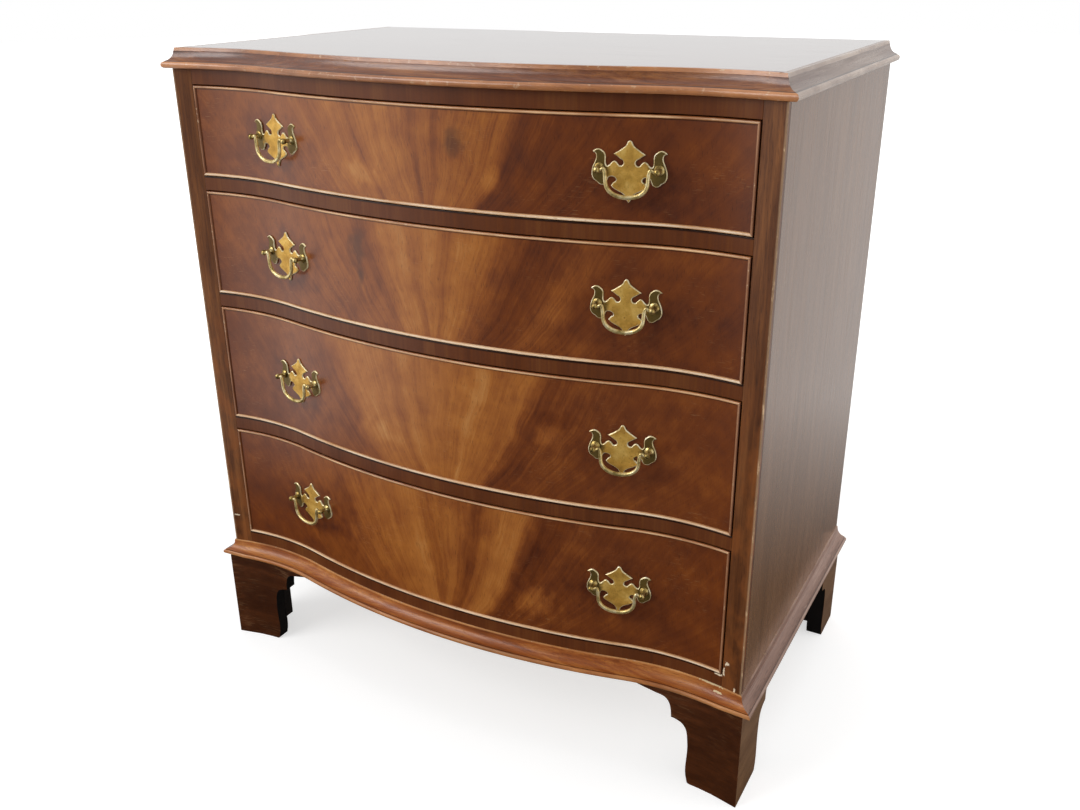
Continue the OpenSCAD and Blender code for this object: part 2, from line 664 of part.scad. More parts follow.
// A bail: a swan neck at each end, sides that run down and a grip that is thickest in the middle
bail_x = post_pitch / 2 - ball_r;
bail_side_z = -0.39 * bail_drop;
bail_arm = concat(
    [[bail_x, 0]],
    curve([bail_x, 0], [bail_x - 2.9, 2.2], [bail_half + 0.7, 4.6], [bail_half, bail_side_z], 6),
    curve([bail_half, bail_side_z], [bail_half, -0.78 * bail_drop], [0.59 * bail_half, -bail_drop],
        [0, -bail_drop], 6));
bail_line = concat(bail_arm, [for (i = [len(bail_arm) - 2:-1:0]) [-bail_arm[i].x, bail_arm[i].y]]);
module bail() {
    last = len(bail_line) - 1;
    sides = 8;
    rings = [for (i = [0:last]) let (
        p = bail_line[i],
        t = i == 0 || i == last ? [-1, 0] : bail_line[i + 1] - bail_line[i - 1],
        u = t / norm(t),
        r = bail_end_r + (bail_grip_r - bail_end_r) * sin(180 * i / last))
        [for (k = [0:sides - 1]) let (a = 360 * (k + 0.5) / sides)
            [p.x - r * cos(a) * u.y, r * sin(a), p.y + r * cos(a) * u.x]]];
    walls = [for (i = [0:last - 1], k = [0:sides - 1])
        let (a = i * sides + k, b = i * sides + (k + 1) % sides)
        each [[a, b, b + sides], [a, b + sides, a + sides]]];
    caps = [[for (k = [sides - 1:-1:0]) k], [for (k = [0:sides - 1]) last * sides + k]];
    polyhedron([for (ring = rings, p = ring) p], concat(walls, caps));
    for (side = [-1, 1]) translate([side * (post_pitch / 2 - 0.5), 0, 0]) rotate([0, 90, 0])
        cylinder(r = pin_r, h = 2 * ball_r, center = true, $fn = 24);
}
module drawer_bail(d, side) {
    color("#b89042") place() at_handle(d, side) translate([0, -stand_off, post_up]) bail();
}
module left_box_side(d) {
    color("#c2a06f") place() hand(-1) drawer_side(d);
}
module right_box_side(d) {
    color("#c2a06f") place() drawer_side(d);
}

module drawer_1_front() drawer_front(0);
module drawer_1_cockbead() drawer_cockbead(0);
module drawer_1_left_side() left_box_side(0);
module drawer_1_right_side() right_box_side(0);
module drawer_1_back() drawer_back(0);
module drawer_1_bottom() drawer_bottom(0);
module drawer_1_backplates() drawer_backplates(0);
module drawer_1_posts() drawer_posts(0);
module drawer_1_left_bail() drawer_bail(0, -1);
module drawer_1_right_bail() drawer_bail(0, 1);

module drawer_2_front() drawer_front(1);
module drawer_2_cockbead() drawer_cockbead(1);
module drawer_2_left_side() left_box_side(1);
module drawer_2_right_side() right_box_side(1);
module drawer_2_back() drawer_back(1);
module drawer_2_bottom() drawer_bottom(1);
module drawer_2_backplates() drawer_backplates(1);
module drawer_2_posts() drawer_posts(1);
module drawer_2_left_bail() drawer_bail(1, -1);
module drawer_2_right_bail() drawer_bail(1, 1);

module drawer_3_front() drawer_front(2);
module drawer_3_cockbead() drawer_cockbead(2);
module drawer_3_left_side() left_box_side(2);
module drawer_3_right_side() right_box_side(2);
module drawer_3_back() drawer_back(2);
module drawer_3_bottom() drawer_bottom(2);
module drawer_3_backplates() drawer_backplates(2);
module drawer_3_posts() drawer_posts(2);
module drawer_3_left_bail() drawer_bail(2, -1);
module drawer_3_right_bail() drawer_bail(2, 1);

module drawer_4_front() drawer_front(3);
module drawer_4_cockbead() drawer_cockbead(3);
module drawer_4_left_side() left_box_side(3);
module drawer_4_right_side() right_box_side(3);
module drawer_4_back() drawer_back(3);
module drawer_4_bottom() drawer_bottom(3);
module drawer_4_backplates() drawer_backplates(3);
module drawer_4_posts() drawer_posts(3);
module drawer_4_left_bail() drawer_bail(3, -1);
module drawer_4_right_bail() drawer_bail(3, 1);

top_board();
top_moulding();
left_side();
right_side();
left_stile();
right_stile();
top_rail();
drawer_rail_1();
drawer_rail_2();
drawer_rail_3();
bottom_rail();
back_panel();
bottom_board();
drawer_runners();
base_moulding();
front_left_foot();
front_right_foot();
rear_left_foot();
rear_right_foot();
glue_blocks();
drawer_1_front();
drawer_1_cockbead();
drawer_1_left_side();
drawer_1_right_side();
drawer_1_back();
drawer_1_bottom();
drawer_1_backplates();
drawer_1_posts();
drawer_1_left_bail();
drawer_1_right_bail();
drawer_2_front();
drawer_2_cockbead();
drawer_2_left_side();
drawer_2_right_side();
drawer_2_back();
drawer_2_bottom();
drawer_2_backplates();
drawer_2_posts();
drawer_2_left_bail();
drawer_2_right_bail();
drawer_3_front();
drawer_3_cockbead();
drawer_3_left_side();
drawer_3_right_side();
drawer_3_back();
drawer_3_bottom();
drawer_3_backplates();
drawer_3_posts();
drawer_3_left_bail();
drawer_3_right_bail();
drawer_4_front();
drawer_4_cockbead();
drawer_4_left_side();
drawer_4_right_side();
drawer_4_back();
drawer_4_bottom();
drawer_4_backplates();
drawer_4_posts();
drawer_4_left_bail();
drawer_4_right_bail();
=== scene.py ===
# A serpentine chest of four drawers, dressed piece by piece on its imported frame.
# Metres: X runs across the chest, the drawers open towards -Y, and Z is up.
import math
import bpy
from mathutils import Matrix, Vector


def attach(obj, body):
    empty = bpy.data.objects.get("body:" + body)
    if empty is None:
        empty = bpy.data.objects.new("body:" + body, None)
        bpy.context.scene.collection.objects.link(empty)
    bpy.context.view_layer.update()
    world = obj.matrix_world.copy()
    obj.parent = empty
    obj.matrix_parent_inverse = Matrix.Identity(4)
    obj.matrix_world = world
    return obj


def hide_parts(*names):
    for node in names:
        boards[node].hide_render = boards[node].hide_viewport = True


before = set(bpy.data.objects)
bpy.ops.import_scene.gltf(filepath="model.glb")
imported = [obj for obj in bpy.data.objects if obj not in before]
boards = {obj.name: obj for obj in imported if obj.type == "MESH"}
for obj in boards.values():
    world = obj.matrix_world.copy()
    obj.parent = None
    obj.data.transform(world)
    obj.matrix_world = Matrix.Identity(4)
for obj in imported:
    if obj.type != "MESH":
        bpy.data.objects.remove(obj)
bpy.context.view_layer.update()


# Studio
# The camera stands a little to the right of the chest and above it, and leans by half a degree.
# The floor and the surroundings are white, and the lamps are broad and soft.
azimuth, elevation, lean = math.radians(28.491), math.radians(22.932), math.radians(-0.447)
looked_at, distance = Vector((-0.0024, 0.0323, 0.3521)), 1.4810
towards = Vector((-math.sin(azimuth) * math.cos(elevation), math.cos(azimuth) * math.cos(elevation),
                  -math.sin(elevation)))
level = Vector((math.cos(azimuth), math.sin(azimuth), 0))
upwards = level.cross(towards)
camera_x = math.cos(lean) * level + math.sin(lean) * upwards
camera_y = math.cos(lean) * upwards - math.sin(lean) * level
bpy.ops.object.camera_add()
camera = bpy.context.object
camera.matrix_world = (Matrix.Translation(looked_at - distance * towards)
                       @ Matrix((camera_x, camera_y, -towards)).transposed().to_4x4())
camera.data.sensor_fit = "HORIZONTAL"
camera.data.sensor_width = 36
camera.data.lens = 35.27
bpy.context.scene.camera = camera
bpy.context.scene.view_settings.view_transform = "Standard"


def add(tree, kind, inputs=None, output=0, **settings):
    # A new node: inputs are sockets or plain values, and what comes back is one of its outputs
    step = tree.nodes.new("ShaderNode" + kind)
    for name, value in settings.items():
        setattr(step, name, value)
    for key, value in (inputs or {}).items():
        if isinstance(value, bpy.types.NodeSocket):
            tree.links.new(value, step.inputs[key])
        else:
            step.inputs[key].default_value = value
    return step.outputs[output] if step.outputs else None


def calc(tree, operation, a, b=0.0):
    return add(tree, "Math", {0: a, 1: b}, operation=operation)


def plus(tree, a, b):
    return calc(tree, "ADD", a, b)


def times(tree, a, b):
    return calc(tree, "MULTIPLY", a, b)


def between(tree, value, low, high, bottom=0.0, top=1.0, curve="LINEAR"):
    # Bottom where the value is at low, top where it is at high, and no further at either end
    return add(tree, "MapRange", {0: value, 1: low, 2: high, 3: bottom, 4: top}, interpolation_type=curve)


def own_place(tree):
    return add(tree, "TexCoord", output=3)


def axes(tree, vector):
    step = tree.nodes.new("ShaderNodeSeparateXYZ")
    tree.links.new(vector, step.inputs[0])
    return tuple(step.outputs)


def lamp(name, place, aim, width, height, power, mirrored=True):
    place, aim = Vector(place), Vector(aim)
    turn = (aim - place).to_track_quat("-Z", "Y").to_euler()
    bpy.ops.object.light_add(type="AREA", location=place, rotation=turn)
    light = bpy.context.object
    light.name = name
    light.data.shape = "RECTANGLE"
    light.data.size, light.data.size_y = width, height
    light.data.energy = power
    light.visible_glossy = mirrored


lamp("lamp_front", (-1.9, -2.6, 2.3), (0, 0, 0.45), 2.2, 2.0, 62)
lamp("lamp_right", (2.7, 0.5, 1.0), (0.3, 0, 0.25), 1.8, 1.6, 22, False)
lamp("lamp_above", (0.2, 0.6, 3.2), (0, 0, 0.6), 2.6, 2.6, 30, False)


def room_light(tree, backwards):
    # Polished wood mirrors a white room behind and beside the chest, and a dark one in front of it
    return between(tree, backwards, -0.955, -0.76, 0.03, 1.0, "SMOOTHSTEP")


room_diffuse, room_mirrored = 0.55, 0.79
world = bpy.data.worlds.new("white_studio")
bpy.context.scene.world = world
world.use_nodes = True
tree = world.node_tree
tree.nodes.clear()
seen = add(tree, "LightPath")
mirrored = add(tree, "LightPath", output=3)
level_way = add(tree, "VectorMath", {0: add(tree, "TexCoord"), 1: (1, 1, 0)}, operation="MULTIPLY")
level_way = add(tree, "VectorMath", {0: level_way}, operation="NORMALIZE")
glow = times(tree, room_light(tree, axes(tree, level_way)[1]), room_mirrored)
strength = add(tree, "Mix", {0: mirrored, 2: room_diffuse, 3: glow}, data_type="FLOAT")
strength = calc(tree, "MAXIMUM", strength, seen)
sky = add(tree, "Background", {"Color": (1, 1, 1, 1), "Strength": strength})
add(tree, "OutputWorld", {"Surface": sky})

# The floor is matt to the lamps. The wood mirrors it as white, but dark close in front of the chest.
floor_radius = 14
bpy.ops.mesh.primitive_circle_add(vertices=96, radius=floor_radius, fill_type="NGON")
floor = bpy.context.object
floor.name = "floor"
paper = bpy.data.materials.new("white_paper")
paper.use_nodes = True
tree = paper.node_tree
tree.nodes.clear()
seen = add(tree, "LightPath")
mirrored = add(tree, "LightPath", output=3)
place = own_place(tree)
floor_y = axes(tree, place)[1]
away = add(tree, "VectorMath", {0: place}, output=1, operation="LENGTH")
backwards = room_light(tree, calc(tree, "DIVIDE", floor_y, away))
beyond = between(tree, away, 0.75, 1.25, curve="SMOOTHSTEP")
behind = between(tree, floor_y, -0.25, 0.02, curve="SMOOTHSTEP")
near = between(tree, away, 0.55, 1.25, 0.05, 1.0)
near = times(tree, near, between(tree, floor_y, 0.0, 0.4, 1.0, 0.68))
glow = times(tree, times(tree, backwards, calc(tree, "MAXIMUM", beyond, behind)), near)
open_floor = between(tree, away, 0.7, 2.6, 0.6, 1.1)
glow = plus(tree, times(tree, glow, mirrored), times(tree, open_floor, seen))
glow = add(tree, "Emission", {"Color": (1, 1, 1, 1), "Strength": glow})
matt = add(tree, "BsdfDiffuse", {"Color": (0.6, 0.6, 0.6, 1)})
black = add(tree, "BsdfDiffuse", {"Color": (0, 0, 0, 1)})
matt = add(tree, "MixShader", {0: mirrored, 1: matt, 2: black})
add(tree, "OutputMaterial", {"Surface": add(tree, "AddShader", {0: matt, 1: glow})})
floor.data.materials.append(paper)


# Glue blocks, runners, bottom board and back
# Plain softwood and plywood, planed, left bare and glued in, with the runners' grain from front to
# back. The blocks inside the feet are painted near black as painted shade, for they lie in the dark.
ACROSS, BACKWARDS, UPRIGHT = 0, 1, 2


def shade(code):
    parts = [int(code[i:i + 2], 16) / 255 for i in (0, 2, 4)]
    return tuple(c / 12.92 if c < 0.04045 else ((c + 0.055) / 1.055) ** 2.4 for c in parts) + (1.0,)


def ramp(tree, value, stops):
    step = tree.nodes.new("ShaderNodeValToRGB")
    tree.links.new(value, step.inputs[0])
    edges = step.color_ramp.elements
    edges[0].position, edges[0].color = stops[0]
    edges[1].position, edges[1].color = stops[-1]
    for position, colour in stops[1:-1]:
        edges.new(position).color = colour
    return step.outputs[0]


def minus(tree, a, b):
    return calc(tree, "SUBTRACT", a, b)


def noise(tree, place, detail, roughness=0.5, distortion=0.0):
    return add(tree, "TexNoise", {"Vector": place, "Scale": 1.0, "Detail": detail, "Roughness": roughness,
                                  "Distortion": distortion})


def blend(tree, amount, under, over):
    return add(tree, "Mix", {0: amount, 6: under, 7: over}, output=2, data_type="RGBA")


def stained(tree, amount, code):
    # Lays a colour over the one that the finish has so far
    colour = tree.nodes["Principled BSDF"].inputs["Base Color"]
    tree.links.new(blend(tree, amount, colour.links[0].from_socket, shade(code)), colour)


def grain(tree, along, across, length, seed):
    scale = [1 / across] * 3
    scale[along] = 1 / length
    return add(tree, "Mapping", {"Vector": own_place(tree), "Location": (seed, 3 * seed, 7 * seed),
                                 "Scale": scale})


def new_finish(name):
    finish = bpy.data.materials.new(name)
    finish.use_nodes = True
    return finish, finish.node_tree, finish.node_tree.nodes["Principled BSDF"]


def straight_grain(name, along, seed, dark, middle, light, pore, roughness, coat=0.0, specular=0.5,
                   width=0.045, pores=0.55, relief=0.0002):
    # Broad stripes of the given width, fine lines and clouds in three colours, and short open pores
    wood, tree, shader = new_finish(name)
    broad = noise(tree, grain(tree, along, width, 11 * width, seed), 4, 0.55, 0.5)
    fine = noise(tree, grain(tree, along, 0.0028, 0.09, seed + 1), 3, 0.6)
    hair = noise(tree, grain(tree, along, 0.0006, 0.011, seed + 2), 1)
    cloud = noise(tree, grain(tree, along, 0.16, 0.3, seed + 4), 2)
    tone = plus(tree, times(tree, broad, 0.5), times(tree, fine, 0.3))
    tone = plus(tree, tone, times(tree, cloud, 0.2))
    colour = ramp(tree, tone, [(0.36, shade(dark)), (0.5, shade(middle)), (0.64, shade(light))])
    tree.links.new(colour, shader.inputs["Base Color"])
    dots = between(tree, hair, 0.58, 0.72, 0.0, pores)
    stained(tree, dots, pore)
    tree.links.new(between(tree, fine, 0.3, 0.7, roughness + 0.06, roughness - 0.06),
                   shader.inputs["Roughness"])
    height = minus(tree, times(tree, fine, 0.3), dots)
    bump = add(tree, "Bump", {"Strength": 0.5, "Distance": relief, "Height": height})
    tree.links.new(bump, shader.inputs["Normal"])
    shader.inputs["Specular IOR Level"].default_value = specular
    shader.inputs["Coat Weight"].default_value = coat
    shader.inputs["Coat Roughness"].default_value = 0.18
    return wood


def ease(name, wood, width):
    # Gives a board its wood and takes off its sharp edges, or keeps them crisp where the width is 0
    board = boards[name]
    board.data.materials.clear()
    board.data.materials.append(wood)
    for face in board.data.polygons:
        face.use_smooth = True
    weld = board.modifiers.new("Joined faces", "WELD")
    weld.merge_threshold = 0.00001
    if width:
        rounding = board.modifiers.new("Eased edges", "BEVEL")
        rounding.width = width
        rounding.segments = 2
        rounding.limit_method = "ANGLE"
        rounding.angle_limit = math.radians(35)
        level_faces = board.modifiers.new("Level faces", "WEIGHTED_NORMAL")
        level_faces.weight = 90
    else:
        crisp = board.modifiers.new("Crisp edges", "EDGE_SPLIT")
        crisp.split_angle = math.radians(28)


bare_deal = straight_grain("bare_deal_lengthways", BACKWARDS, 1.0, "8F6A3E", "AC8452", "C49E6B", "6A4A28",
                           0.62)
ply_back = straight_grain("back_plywood", UPRIGHT, 3.0, "9C7448", "B8905E", "CFAA78", "7A5631", 0.6,
                          width=0.09)
ply_bottom = straight_grain("bottom_plywood", ACROSS, 4.0, "94703F", "AE8A56", "C6A26E", "735329", 0.6,
                            width=0.09)
# Painted shade: the glue blocks get near-black wood, as they sit in the dark inside the feet
shade_black_block = straight_grain("painted_shade_block", UPRIGHT, 2.5, "120A06", "1A0F09", "24160D", "0A0503", 0.7)
ease("glue_blocks", shade_black_block, 0.0008)
ease("drawer_runners", bare_deal, 0.0005)
ease("bottom_board", ply_bottom, 0.0004)
ease("back_panel", ply_back, 0.0004)


# Bracket feet
# Solid mahogany brackets sawn to an ogee, mitred at the front corners and glued under the carcase.
# They are stained darker than the rest, paler at the sides with fading and a painted sheen, and scratched
# by shoes and brooms.
def laid(tree, scale, shift=0.0, turn=0.0):
    # The piece's own place, scaled for a noise, shifted by a seed and turned in the front's plane
    scale = scale if isinstance(scale, tuple) else (scale,) * 3
    return add(tree, "Mapping", {"Vector": own_place(tree), "Location": (shift,) * 3,
                                 "Rotation": (0, turn, 0), "Scale": scale})


def scratched(wood, amount, colour, seed, turns, length=0.012, few=0.76, thin=1400):
    # Fine lines at each of the turns, in the few places where a cloud is dense
    tree = wood.node_tree
    marks = None
    for turn in turns:
        line = laid(tree, (1 / length, 40, thin), seed + 5 * turn, turn)
        mark = between(tree, noise(tree, line, 0), few, few + 0.06)
        marks = mark if marks is None else calc(tree, "MAXIMUM", marks, mark)
    kept = between(tree, noise(tree, laid(tree, 17, seed), 2), few - 0.26, few - 0.1)
    stained(tree, times(tree, times(tree, marks, kept), amount), colour)
    return wood


def chipped(wood, colour, *chips):
    # Each chip is (across, up, half width, half height) in metres, with a ragged edge
    tree = wood.node_tree
    place = own_place(tree)
    ragged = times(tree, noise(tree, laid(tree, 420), 3), 3.0)
    marks = None
    for x, z, half_x, half_z in chips:
        near = add(tree, "VectorMath", {0: place, 1: (x, 0, z)}, operation="SUBTRACT")
        near = add(tree, "VectorMath", {0: near, 1: (1 / half_x, 0, 1 / half_z)}, operation="MULTIPLY")
        near = plus(tree, add(tree, "VectorMath", {0: near}, output=1, operation="LENGTH"), ragged)
        mark = between(tree, near, 2.45, 2.25)
        marks = mark if marks is None else calc(tree, "MAXIMUM", marks, mark)
    stained(tree, marks, colour)


foot_wood = straight_grain("foot_mahogany", ACROSS, 5.0, "361707", "46220B", "5A2E12", "1C0C04", 0.34,
                           coat=0.25, specular=0.4, width=0.02)
scratched(foot_wood, 0.4, "9A7450", 2.0, (0.05, -0.12, 0.2, 0.9), 0.02, 0.72, 900)
# Only the faces that look outwards are finished. The backs and sawn edges, which lie in shade,
# are painted near black as painted shade.
tree = foot_wood.node_tree
shader = tree.nodes["Principled BSDF"]
x, y, _ = axes(tree, own_place(tree))
facing_x, facing_y, _ = axes(tree, add(tree, "TexCoord", output=1))
sides = between(tree, times(tree, facing_x, calc(tree, "SIGN", x)), 0.3, 0.7)
front = times(tree, between(tree, facing_y, -0.4, -0.75), between(tree, y, -0.17, -0.18))
rear = times(tree, between(tree, facing_y, 0.4, 0.75), between(tree, y, 0.23, 0.235))
outward_faces = calc(tree, "MAXIMUM", sides, calc(tree, "MAXIMUM", front, rear))
# The side faces are painted paler in clouds: partly fading, partly a painted sheen
fade_and_sheen = between(tree, noise(tree, laid(tree, (40, 14, 110)), 4), 0.36, 0.64, 0.34, 0.66)
stained(tree, times(tree, sides, fade_and_sheen), "A27A56")
# Painted shade: every face that does not look outwards is made near black
stained(tree, minus(tree, 1, outward_faces), "0E0705")
tree.links.new(between(tree, outward_faces, 0, 1, 0.95, 0.34), shader.inputs["Roughness"])
coat = times(tree, outward_faces, between(tree, sides, 0, 1, 0.25, 0.6))
tree.links.new(coat, shader.inputs["Coat Weight"])
for corner in ("front_left", "front_right", "rear_left", "rear_right"):
    ease(corner + "_foot", foot_wood, 0.0007)


# Carcase sides, stiles and rails
# The sides are veneered panels with upright grain, and the stiles and rails are faced with
# mahogany whose grain also stands upright, across the rails.
stile_joint_y, stile_face_y = -0.19202, -0.19922
rail_tops = (0.68, 0.528, 0.352, 0.1715)
side_veneer = straight_grain("side_mahogany", UPRIGHT, 6.0, "684627", "744F2F", "805A39", "4A2E19", 0.24,
                             coat=0.4, width=0.02, pores=0.3, relief=0.00006)
stile_veneer = straight_grain("stile_mahogany", UPRIGHT, 7.0, "4A260F", "62381B", "825029", "2E160A", 0.34,
                              coat=0.1, specular=0.3, width=0.012)
rail_veneer = straight_grain("rail_mahogany", UPRIGHT, 8.0, "552A10", "623214", "70401C", "3A1C0C", 0.34,
                             coat=0.1, specular=0.3, width=0.03, pores=0.15)
# A painted shadow lies along the upper edge of each rail, under the beads, as a narrow dark line
tree = rail_veneer.node_tree
height = axes(tree, own_place(tree))[2]
for rail_top in rail_tops:
    under = calc(tree, "ABSOLUTE", minus(tree, height, rail_top))
    stained(tree, between(tree, under, 0.0022, 0.0014, 0, 0.85), "1E0C05")
# The lower halves of the stiles are rubbed through to warm patches
tree = stile_veneer.node_tree
height = axes(tree, own_place(tree))[2]
patchy = between(tree, noise(tree, laid(tree, (60, 60, 34)), 3), 0.44, 0.62, 0, 0.5)
stained(tree, times(tree, patchy, between(tree, height, 0.6, 0.4)), "8C4E20")
scratched(side_veneer, 0.25, "C0A888", 3.0, (0.4, -0.9))
chipped(stile_veneer, "E6D2B4", (0.3597, 0.1885, 0.0032, 0.0026), (0.3565, 0.1765, 0.0013, 0.006),
        (0.3712, 0.158, 0.0012, 0.004), (-0.3735, 0.196, 0.004, 0.0016))
chipped(rail_veneer, "E6D2B4", (0.35, 0.1695, 0.0052, 0.0014))
for wood in (side_veneer, stile_veneer):
    # The stile's outer edge is knocked pale, and a dark glue line shows where it meets the side
    tree = wood.node_tree
    x, y, _ = axes(tree, own_place(tree))
    outer = between(tree, calc(tree, "ABSOLUTE", x), 0.3772, 0.3788)
    knocks = noise(tree, laid(tree, (300, 300, 70)), 4, 0.7)
    arris = times(tree, outer, between(tree, y, stile_face_y + 0.0017, stile_face_y))
    stained(tree, times(tree, arris, between(tree, knocks, 0.56, 0.62, 0.35, 0.95)), "D0B08A")
    seam = calc(tree, "ABSOLUTE", minus(tree, y, stile_joint_y))
    stained(tree, times(tree, between(tree, seam, 0.0009, 0.0004, 0, 0.85), outer), "20100A")
for hand in ("left", "right"):
    ease(hand + "_side", side_veneer, 0.0005)
    ease(hand + "_stile", stile_veneer, 0.0006)
for rail in ("top_rail", "drawer_rail_1", "drawer_rail_2", "drawer_rail_3", "bottom_rail"):
    ease(rail, rail_veneer, 0.0005)


# Base moulding
# A hollow, a bead and a small step, run on solid mahogany strips and glued round the carcase.
# The front strip is sawn to the serpentine, and the corners are mitred.
half_width, depth, stile_width, moulding_out = 0.380, 0.435, 0.025, 0.016
bow_radius, hollow_radius, hollow_in = 1.004, 0.306, 0.0525
opening = half_width - stile_width
hollow_x = opening - hollow_in
hollow_y = hollow_radius - math.sqrt(hollow_radius ** 2 - hollow_in ** 2)
flow = math.asin(hollow_x / (bow_radius + hollow_radius))
flow_x = bow_radius * math.sin(flow)
crest_y = hollow_y - (bow_radius + hollow_radius) * (1 - math.cos(flow))
middle_y = (depth + crest_y - moulding_out) / 2
joint_gap = 0.00005


def front_y(x):
    # The plan of the front: one wide arc that flows into a hollow arc at each end
    x = abs(x)
    if x < flow_x:
        return crest_y + bow_radius - math.sqrt(bow_radius ** 2 - x * x) - middle_y
    return hollow_y - hollow_radius + math.sqrt(hollow_radius ** 2 - (x - hollow_x) ** 2) - middle_y


def front_lean(x):
    if abs(x) < flow_x:
        return math.asin(x / bow_radius)
    return math.copysign(math.asin((hollow_x - abs(x)) / hollow_radius), x)


corner_y = front_y(half_width)
corner_out = -(1 - math.sin(front_lean(half_width))) / math.cos(front_lean(half_width))


def front_run(steps=110):
    # Stations along the front, each with its place and the way out from it, between two mitres
    across = [-opening + 2 * opening * i / steps for i in range(steps + 1)]
    run = [(x, front_y(x), math.sin(front_lean(x)), -math.cos(front_lean(x))) for x in across]
    end = half_width - joint_gap
    return [(-end, corner_y, -1, corner_out)] + run + [(end, corner_y, 1, corner_out)]


def side_run(hand):
    return [(hand * half_width, corner_y + joint_gap, hand, corner_out),
            (hand * half_width, depth - middle_y, hand, 0)]


def arc(centre, radius, start, end, steps):
    turn = [math.radians(start + (end - start) * i / steps) for i in range(steps + 1)]
    return [(centre[0] + radius * math.cos(a), centre[1] + radius * math.sin(a)) for a in turn]


def with_wear_and_shading(points, wear_and_shading):
    return [(x, y, wear_and_shading) for x, y in points]


def lay_strip(name, outline, stations, place):
    # A grid with a column for each station and a row for each point of the outline, closed round it.
    # Each point of the outline is (outwards, upwards, tone), and the tone runs from -1 for dirt with painted
    # shade in the crevices to 1 for wood rubbed bare with a painted highlight.
    bpy.ops.object.select_all(action="DESELECT")
    columns, rows = len(stations) - 1, len(outline)
    bpy.ops.mesh.primitive_grid_add(x_subdivisions=columns, y_subdivisions=rows, size=1)
    strip = bpy.context.object
    strip.name = name
    wear_and_shading = strip.data.attributes.new("wear_and_shading", "FLOAT", "POINT")
    for point in strip.data.vertices:
        station = stations[round((point.co.x + 0.5) * columns)]
        edge = outline[round((point.co.y + 0.5) * rows) % rows]
        point.co = place(station, edge)
        wear_and_shading.data[point.index].value = edge[2]
    bpy.ops.object.mode_set(mode="EDIT")
    bpy.ops.mesh.select_all(action="SELECT")
    bpy.ops.mesh.remove_doubles(threshold=0.00001)
    bpy.ops.mesh.select_all(action="SELECT")
    bpy.ops.mesh.fill_holes(sides=0)
    bpy.ops.mesh.select_all(action="SELECT")
    bpy.ops.mesh.normals_make_consistent(inside=False)
    bpy.ops.object.mode_set(mode="OBJECT")
    bpy.ops.object.shade_smooth_by_angle(angle=math.radians(30))
    return strip


def moulded(lowest):
    def place(station, edge):
        x, y, out_x, out_y = station
        return Vector((x + edge[0] * out_x, y + edge[0] * out_y, lowest + edge[1]))
    return place


def moulding_wood(name, along, seed, dark, middle, light, pale_tone, coat=0.35, specular=0.5):
    # Rubbed to bare wood and painted with a highlight where it is worn, nicked on its edges, and darkened
    # in its corners with dirt and painted shade
    wood = straight_grain(name, along, seed, dark, middle, light, "34180D", 0.3, coat=coat,
                          specular=specular, width=0.016, pores=0.45)
    tree = wood.node_tree
    wear_and_shading = add(tree, "Attribute", output=2, attribute_name="wear_and_shading")
    nicks = noise(tree, laid(tree, 160), 3, 0.65)
    pale_patches = noise(tree, laid(tree, 16, seed), 3)
    # Pale where rubbed, with a painted highlight on the noses and arrises
    stained(tree, times(tree, wear_and_shading, between(tree, pale_patches, 0.35, 0.7, 0.25, 0.85)), pale_tone)
    stained(tree, times(tree, between(tree, wear_and_shading, 0.55, 1.0), between(tree, nicks, 0.61, 0.67)), "CDB08E")
    # Dirt and painted shade darken the quirks and the cove
    stained(tree, between(tree, wear_and_shading, -0.25, -0.9, 0.0, 0.85), "1C0C06")
    return scratched(wood, 0.3, pale_tone, seed, (0.0, 1.57))


base_height = 0.131
bead_mid, bead_radius = (0.0129, 0.0053), 0.0031
hollow_mid, base_hollow_radius = (0.0144, 0.022), 0.0126
# The third numbers lay pale wear with a painted highlight on the bead and top arris, and dirt with painted
# shade in the quirk
base_outline = (
    [(0.0, 0.0, 0.0), (0.007, 0.0, 0.0), (0.0105, 0.0006, 0.2)]
    + with_wear_and_shading(arc(bead_mid, bead_radius, -95, 65, 12), 0.45)
    + [(0.0131, 0.0083, -1.0)]
    + with_wear_and_shading(arc(hollow_mid, base_hollow_radius, 263, 180, 14), 0.0)
    + [(0.0013, 0.024, 1.0), (0.0, 0.024, 0.9)])
base_front_wood = moulding_wood("base_moulding_front", ACROSS, 10.0, "662F10", "985222", "C27E40",
                                "ECB478", 0.1, 0.35)
chipped(base_front_wood, "DCC49A", (0.343, 0.1548, 0.015, 0.0013), (0.352, 0.1475, 0.006, 0.0012))
base_side_wood = moulding_wood("base_moulding_side", BACKWARDS, 11.0, "6E4C3C", "8A6756", "AA8878",
                               "D0B2A0")
for name, stations, wood in (("base_strip_front", front_run(), base_front_wood),
                             ("base_strip_left", side_run(-1), base_side_wood),
                             ("base_strip_right", side_run(1), base_side_wood)):
    strip = lay_strip(name, base_outline, stations, moulded(base_height))
    strip.data.materials.append(wood)
    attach(strip, "carcase")
    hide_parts("base_moulding")


# Top and its moulding
# The top is veneered and polished, and lies inside a frame of moulded mahogany strips:
# a flat band, a small hollow and a round nose, with the front strip sawn to the serpentine.
def curve_points(a, b, c, d, steps):
    # Points of a Bezier curve from a to d, without a itself
    points = []
    for i in range(1, steps + 1):
        t = i / steps
        s = 1 - t
        points.append(tuple(s ** 3 * p + 3 * s * s * t * q + 3 * s * t * t * r + t ** 3 * u
                            for p, q, r, u in zip(a, b, c, d)))
    return points


